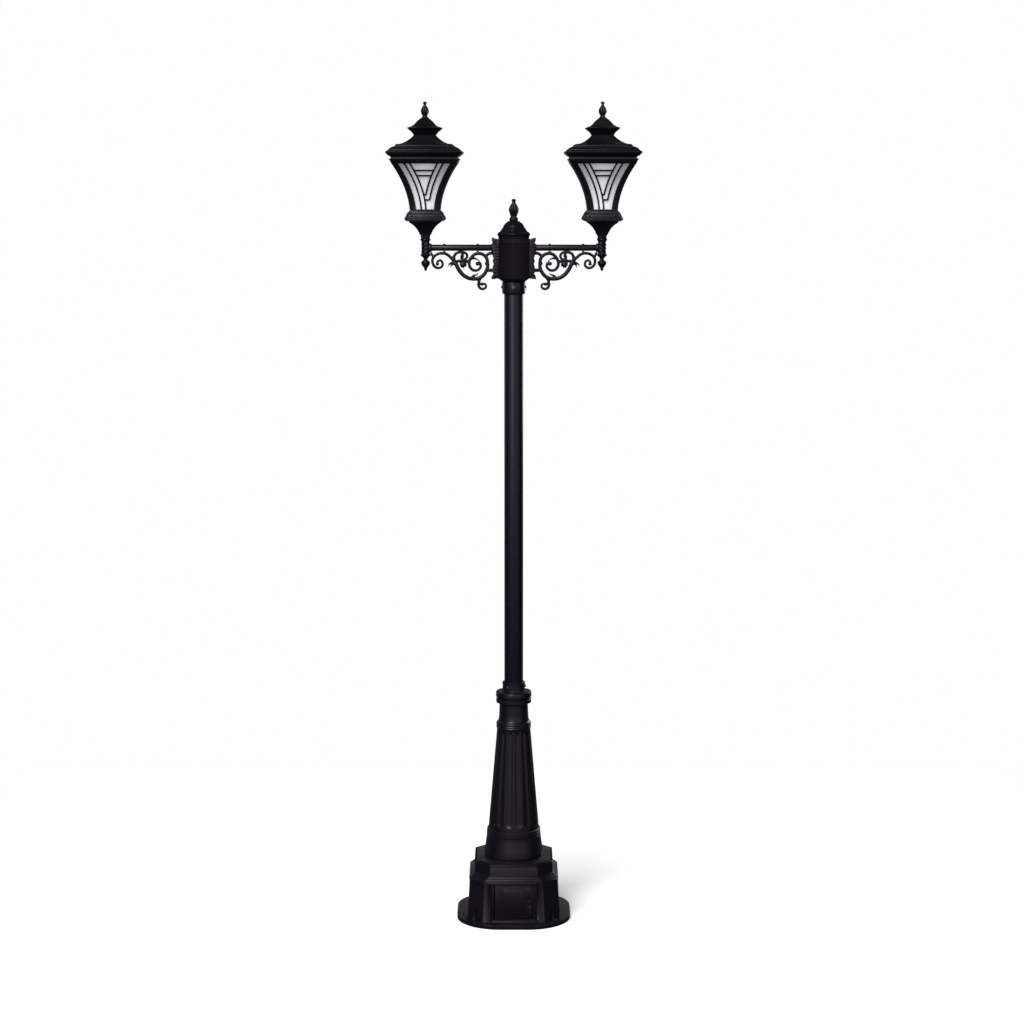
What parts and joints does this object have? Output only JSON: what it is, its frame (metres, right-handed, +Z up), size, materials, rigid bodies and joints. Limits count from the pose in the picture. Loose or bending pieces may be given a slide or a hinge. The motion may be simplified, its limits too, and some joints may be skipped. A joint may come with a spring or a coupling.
{
  "type": "twin lantern lamp post",
  "caption": "Black garden lamp post: cast pedestal with a door, fluted column, pole tube, hexagonal head, scroll arms and two square frosted lanterns with lift-off roofs.",
  "frame": {"origin": "centre of the base flange's underside, on the pole's axis", "axes": "+Z up along the pole, +X towards the right-hand lantern, -Y towards the side with the service door"},
  "size_m": [1.002, 0.462, 3.299],
  "materials": {
    "powder_coat": "satin black powder coat on cast aluminium and steel",
    "steel": "stainless fasteners and zinc-plated brackets",
    "brass": "plain brass stud",
    "plastic": "moulded light grey",
    "cable_black": "matt black sheath",
    "gasket_rubber": "matt black sponge",
    "frosted_glass": "frosted",
    "ceramic_holder": "glazed white"
  },
  "bodies": {
    "post": {"base_pedestal": "powder_coat", "base_column": "powder_coat", "column_bolts": "steel", "pole_tube": "powder_coat", "column_set_screws": "steel", "door_hinge_pins": "steel", "cutout_bracket": "steel", "fuse_cutout": "plastic", "earth_stud": "brass", "pole_cable": "cable_black"},
    "door": {"access_door": "powder_coat"},
    "lock": {"door_lock": "steel"},
    "head": {"head_socket": "powder_coat", "head_set_screws": "steel", "head_box": "powder_coat", "cap_stud": "steel", "junction_block": "plastic", "cap_gasket": "gasket_rubber", "bracket_plate_left": "powder_coat", "arm_tube_left": "powder_coat", "scroll_left": "powder_coat", "scroll_screws_left": "steel", "arm_lead_left": "cable_black", "stem_left": "powder_coat", "drop_finial_left": "powder_coat", "cup_left": "powder_coat", "cage_left": "powder_coat", "glass_panes_left": "frosted_glass", "roof_gasket_left": "gasket_rubber", "roof_bridge_left": "steel", "lamp_holder_left": "ceramic_holder", "bracket_plate_right": "powder_coat", "arm_tube_right": "powder_coat", "scroll_right": "powder_coat", "scroll_screws_right": "steel", "arm_lead_right": "cable_black", "stem_right": "powder_coat", "drop_finial_right": "powder_coat", "cup_right": "powder_coat", "cage_right": "powder_coat", "glass_panes_right": "frosted_glass", "roof_gasket_right": "gasket_rubber", "roof_bridge_right": "steel", "lamp_holder_right": "ceramic_holder"},
    "cap": {"head_cap": "powder_coat"},
    "cap_nut": {"head_finial": "powder_coat"},
    "roof_left": {"roof_left": "powder_coat", "crown_left": "powder_coat"},
    "roof_nut_left": {"finial_left": "powder_coat"},
    "lamp_left": {"lamp_left": "frosted_glass"},
    "roof_right": {"roof_right": "powder_coat", "crown_right": "powder_coat"},
    "roof_nut_right": {"finial_right": "powder_coat"},
    "lamp_right": {"lamp_right": "frosted_glass"}
  },
  "joints": [
    {"name": "door_swing", "type": "hinge", "parent": "post", "child": "door", "pos_m": [-0.074, -0.168, 0.095], "axis": [0, 0, -1], "range_deg": [0, 90]},
    {"name": "door_lock_turn", "type": "hinge", "parent": "door", "child": "lock", "pos_m": [0.061, -0.168, 0.095], "axis": [0, -1, 0], "range_deg": [0, 90]},
    {"name": "head_swivel", "type": "hinge", "parent": "post", "child": "head", "pos_m": [0, 0, 2.58], "axis": [0, 0, 1], "range_deg": [-180, 180]},
    {"name": "cap_lift", "type": "slide", "parent": "head", "child": "cap", "axis": [0, 0, 1], "range_m": [0, 0.12]},
    {"name": "cap_nut_turn", "type": "hinge", "parent": "cap", "child": "cap_nut", "pos_m": [0, 0, 2.86], "axis": [0, 0, 1], "continuous": true},
    {"name": "roof_left_lift", "type": "slide", "parent": "head", "child": "roof_left", "axis": [0, 0, 1], "range_m": [0, 0.22]},
    {"name": "roof_left_nut_turn", "type": "hinge", "parent": "roof_left", "child": "roof_nut_left", "pos_m": [-0.35, 0, 3.26], "axis": [0, 0, 1], "continuous": true},
    {"name": "lamp_left_turn", "type": "hinge", "parent": "head", "child": "lamp_left", "pos_m": [-0.35, 0, 2.9], "axis": [0, 0, 1], "continuous": true},
    {"name": "roof_right_lift", "type": "slide", "parent": "head", "child": "roof_right", "axis": [0, 0, 1], "range_m": [0, 0.22]},
    {"name": "roof_right_nut_turn", "type": "hinge", "parent": "roof_right", "child": "roof_nut_right", "pos_m": [0.35, 0, 3.26], "axis": [0, 0, 1], "continuous": true},
    {"name": "lamp_right_turn", "type": "hinge", "parent": "head", "child": "lamp_right", "pos_m": [0.35, 0, 2.9], "axis": [0, 0, 1], "continuous": true}
  ]
}
